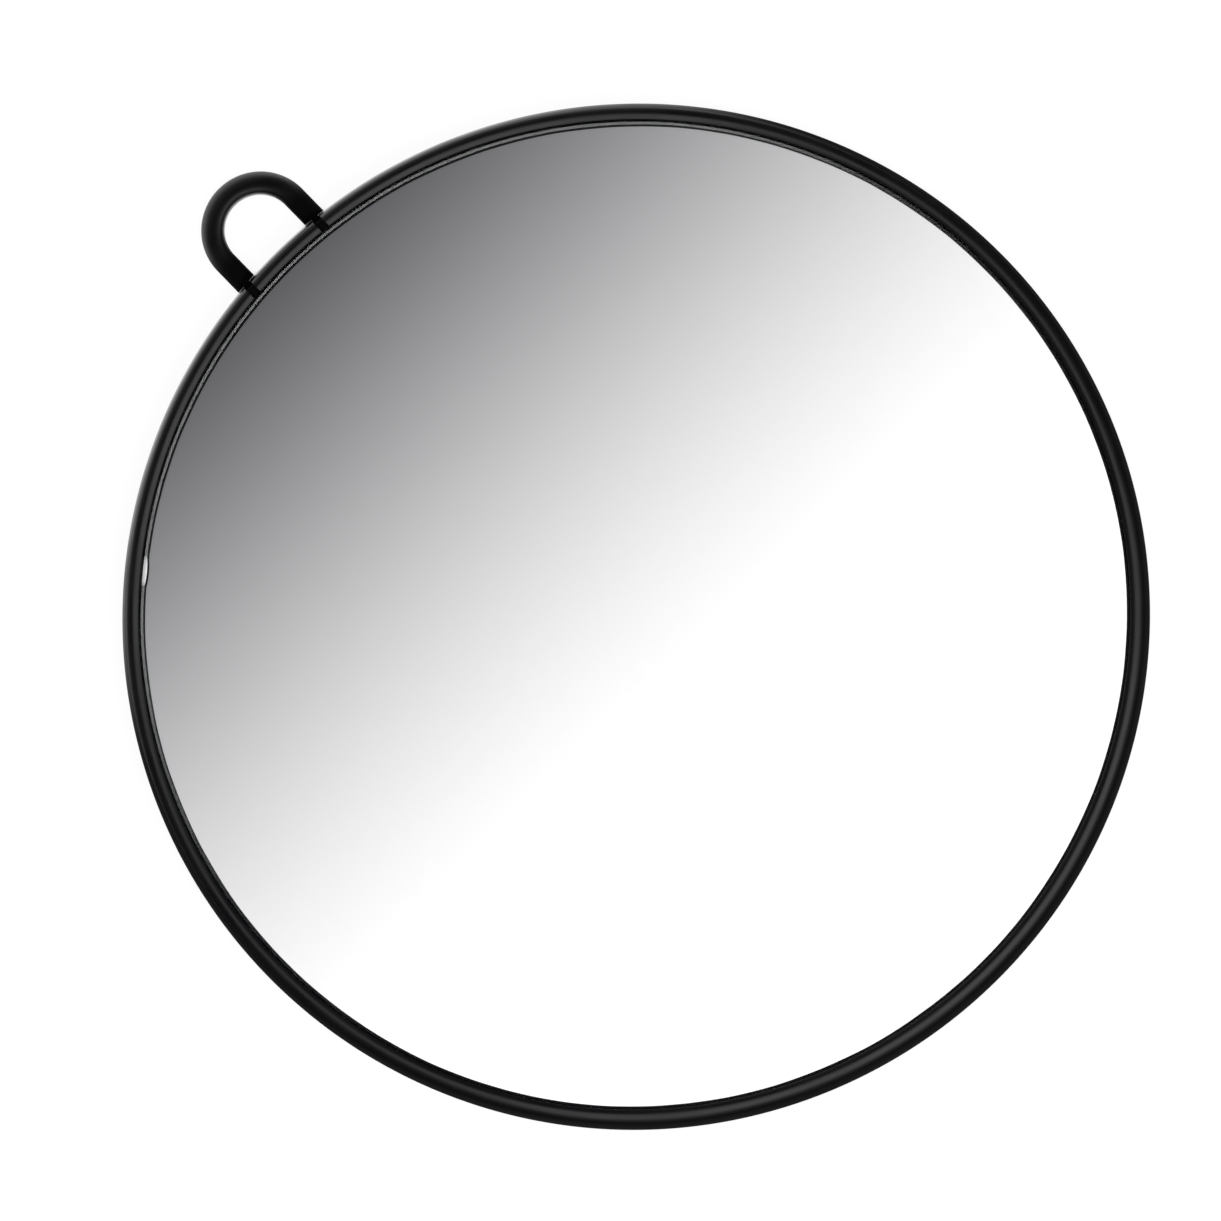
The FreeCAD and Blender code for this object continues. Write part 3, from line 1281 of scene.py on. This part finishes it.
@dataclass
class PhotoCamera:
    """The photograph's view: from above, with the loop at the upper left."""

    distance: float = 2200.0
    field_width: float = 296.1
    tilt: float = 6.3
    tilt_heading: tuple[float, float] = (-0.0872, -0.9962)
    picture_up: tuple[float, float] = (0.695, 0.719)
    aim: tuple[float, float, float] = (-3.5, 4.42, 4.5)
    sensor: float = 36.0

    def build(self) -> None:
        """Makes the camera, points it and gives it to the scene."""
        data = bpy.data.cameras.new("photo_camera")
        data.sensor_width = self.sensor
        data.lens = self.sensor * self.distance / self.field_width
        camera = link_object("photo_camera", data)
        lean = math.radians(self.tilt)
        east, north = self.tilt_heading
        back = Vector((math.sin(lean) * east, math.sin(lean) * north, math.cos(lean))).normalized()
        right = Vector((*self.picture_up, 0.0)).cross(back).normalized()
        up = back.cross(right)
        turn = Matrix((right, up, back)).transposed().to_4x4()
        place = (Vector(self.aim) + back * self.distance) * MM
        camera.matrix_world = Matrix.Translation(place) @ turn
        bpy.context.scene.camera = camera


@dataclass(frozen=True)
class Lamp:
    """A soft lamp over the mirror, whose own shape no gloss shows. Its sizes are in metres."""

    name: str
    place: tuple[float, float, float]
    width: float
    power: float

    def build(self) -> None:
        """Hangs the lamp and turns it to the mirror."""
        data = bpy.data.lights.new(self.name, "AREA")
        data.shape = "DISK"
        data.size = self.width
        data.energy = self.power
        lamp = link_object(self.name, data)
        lamp.location = self.place
        lamp.rotation_euler = (-Vector(self.place)).to_track_quat("-Z", "Y").to_euler()
        lamp.visible_glossy = False
        lamp.visible_transmission = False
        lamp.visible_camera = False


@dataclass(frozen=True)
class Fade:
    """A smooth change of light, from first to last while a ray's way goes from start to end."""

    way: Way
    start: float
    end: float
    first: float
    last: float


CEILING_SIDES = Fade(Way.SIDEWAYS, 0.2, 0.36, 1.0, 0.0)
CEILING_HEIGHT = Fade(Way.UPWARDS, 0.3, 0.9, 0.1, 1.0)
# Each light of the room is the product of its fades.
ROOM_LIGHTS = {
    "soft light overhead": (Fade(Way.TO_LOOP, 0.0815, 0.1735, 1.2, 0.0), CEILING_SIDES, CEILING_HEIGHT),
    "glow away from the loop": (Fade(Way.TO_LOOP, -0.3, 0.06, 0.3, 0.0), CEILING_SIDES, CEILING_HEIGHT),
    "wide window past the loop": (Fade(Way.TO_LOOP, 0.45, 0.85, 0.0, 0.25),),
    "low window past the loop": (
        Fade(Way.TO_LOOP, 0.5, 0.9, 0.0, 1.0), Fade(Way.UPWARDS, 0.05, 0.3, 1.5, 0.0)),
    "pale walls in the mirror": (
        Fade(Way.THROUGH_GLASS, 0.0, 1.0, 0.0, 1.0), Fade(Way.UPWARDS, 0.15, 0.65, 0.75, 0.0)),
}


@dataclass
class Studio:
    """The pale floor, the soft lamps and the room that the mirror shows. Sizes are in metres."""

    lamps: tuple[Lamp, ...] = (
        Lamp("key_lamp", (0.2, -1.2, 1.6), 1.2, 27.0), Lamp("fill_lamp", (-0.6, 0.8, 1.5), 1.0, 12.0))
    floor_radius: float = 9.0
    floor_sides: int = 96
    floor_drop: float = 0.0002
    floor_colour: str = "#484848"
    floor_lift: float = 0.935
    gap_depth: float = 0.004
    gap_shade: tuple[float, float] = (0.05, 0.45)
    floor_painted_glow: tuple[float, float] = (0.05, 1.7)
    painted_glow_edge: tuple[float, float] = (0.06, 0.145)
    dark_room: tuple[float, float, float] = (0.062, 0.061, 0.071)
    camera_white: str = "#ffffff"

    def build(self) -> None:
        """Makes the floor, the lamps and the world."""
        self.floor()
        for lamp in self.lamps:
            lamp.build()
        self.world()
        bpy.context.scene.view_settings.view_transform = "Standard"

    def floor(self) -> None:
        """A pale floor, white for the camera and painted dark in narrow gaps, with a pool of light painted on
        it towards the loop for reflections.
        """
        shape = bmesh.new()
        bmesh.ops.create_circle(shape, cap_ends=True, segments=self.floor_sides, radius=self.floor_radius)
        floor = object_from("floor", shape)
        floor.location.z = -self.floor_drop
        material = bpy.data.materials.new("pale_matte_floor")
        tree = fresh_tree(material)
        matte = add_node(tree, "ShaderNodeBsdfDiffuse", {"Color": linear(self.floor_colour)})
        seen = add_node(tree, "ShaderNodeLightPath")
        nearby = add_node(tree, "ShaderNodeAmbientOcclusion", {"Distance": self.gap_depth})
        unshaded = add_node(tree, "ShaderNodeMapRange", {
            "Value": nearby["AO"], "From Min": self.gap_shade[0], "From Max": self.gap_shade[1],
            "To Max": self.floor_lift}, interpolation_type="SMOOTHSTEP")
        lift = add_node(tree, "ShaderNodeMath", {
            0: seen["Is Camera Ray"], 1: unshaded["Result"]}, operation="MULTIPLY")
        glow = add_node(tree, "ShaderNodeEmission", {"Strength": lift[0]})
        total = add_node(tree, "ShaderNodeAddShader", {0: matte[0], 1: glow[0]})
        # Painted light: reflections see the floor glow brighter towards the loop.
        place = add_node(tree, "ShaderNodeTexCoord")
        along = add_node(tree, "ShaderNodeSeparateXYZ", {0: place["Object"]})
        painted_glow = add_node(tree, "ShaderNodeMapRange", {
            "Value": along["Y"], "From Min": self.painted_glow_edge[0], "From Max": self.painted_glow_edge[1],
            "To Min": self.floor_painted_glow[0], "To Max": self.floor_painted_glow[1]}, interpolation_type="SMOOTHSTEP")
        painted_glow_card = add_node(tree, "ShaderNodeEmission", {"Strength": painted_glow["Result"]})
        both = add_node(tree, "ShaderNodeMixShader", {0: seen["Is Glossy Ray"], 1: total[0], 2: painted_glow_card[0]})
        add_node(tree, "ShaderNodeOutputMaterial", {"Surface": both[0]})
        floor.data.materials.append(material)

    def world(self) -> None:
        """A dim room with a soft light overhead and windows past the loop; the camera itself sees white.

        The walls are pale only in the mirror, which is seen through its glass.
        """
        world = bpy.data.worlds.new("studio_room")
        bpy.context.scene.world = world
        tree = fresh_tree(world)
        place = add_node(tree, "ShaderNodeTexCoord")
        parts = add_node(tree, "ShaderNodeSeparateXYZ", {0: place["Generated"]})
        sideways = add_node(tree, "ShaderNodeMath", {0: parts["X"]}, operation="ABSOLUTE")
        spread = add_node(tree, "ShaderNodeMath", {0: parts["Y"], 1: sideways[0]}, operation="ADD")
        seen = add_node(tree, "ShaderNodeLightPath")
        ways = {
            Way.TO_LOOP: parts["Y"], Way.UPWARDS: parts["Z"], Way.SIDEWAYS: spread[0],
            Way.THROUGH_GLASS: seen["Is Transmission Ray"]}
        lit: Any = self.dark_room
        for name, fades in ROOM_LIGHTS.items():
            level: Any = 1.0
            for fade in fades:
                share = add_node(tree, "ShaderNodeMapRange", {
                    "Value": ways[fade.way], "From Min": fade.start, "From Max": fade.end,
                    "To Min": fade.first, "To Max": fade.last}, interpolation_type="SMOOTHSTEP")
                level = add_node(tree, "ShaderNodeMath", {0: level, 1: share[0]}, operation="MULTIPLY")[0]
            lit = add_node(tree, "ShaderNodeVectorMath", {0: lit, 1: level}, operation="ADD")[0]
            log.info("the room has its %s", name)
        room = add_node(tree, "ShaderNodeBackground", {"Color": lit})
        white = add_node(tree, "ShaderNodeBackground", {"Color": linear(self.camera_white)})
        both = add_node(tree, "ShaderNodeMixShader", {0: seen["Is Camera Ray"], 1: room[0], 2: white[0]})
        add_node(tree, "ShaderNodeOutputWorld", {"Surface": both[0]})


def main() -> None:
    """Builds and dresses the mirror's assemblies, and sets the studio and the camera."""
    logging.basicConfig(level=logging.INFO, format="%(name)s: %(message)s")
    hinge = Hinge()
    loop = HangingLoop(hinge)
    back = BackAssembly()
    rim = MouldedRim(hinge, loop.leg_x, loop.neck_bottom, back.cover_thickness)
    plate = MirrorPlate()
    rim.dress(rim.build())
    plate.dress(plate.build())
    loop.dress(loop.build(rim.outer_radius))
    back.dress(*back.build())
    hinge.dress()
    Studio().build()
    PhotoCamera().build()


if __name__ == "__main__":
    main()
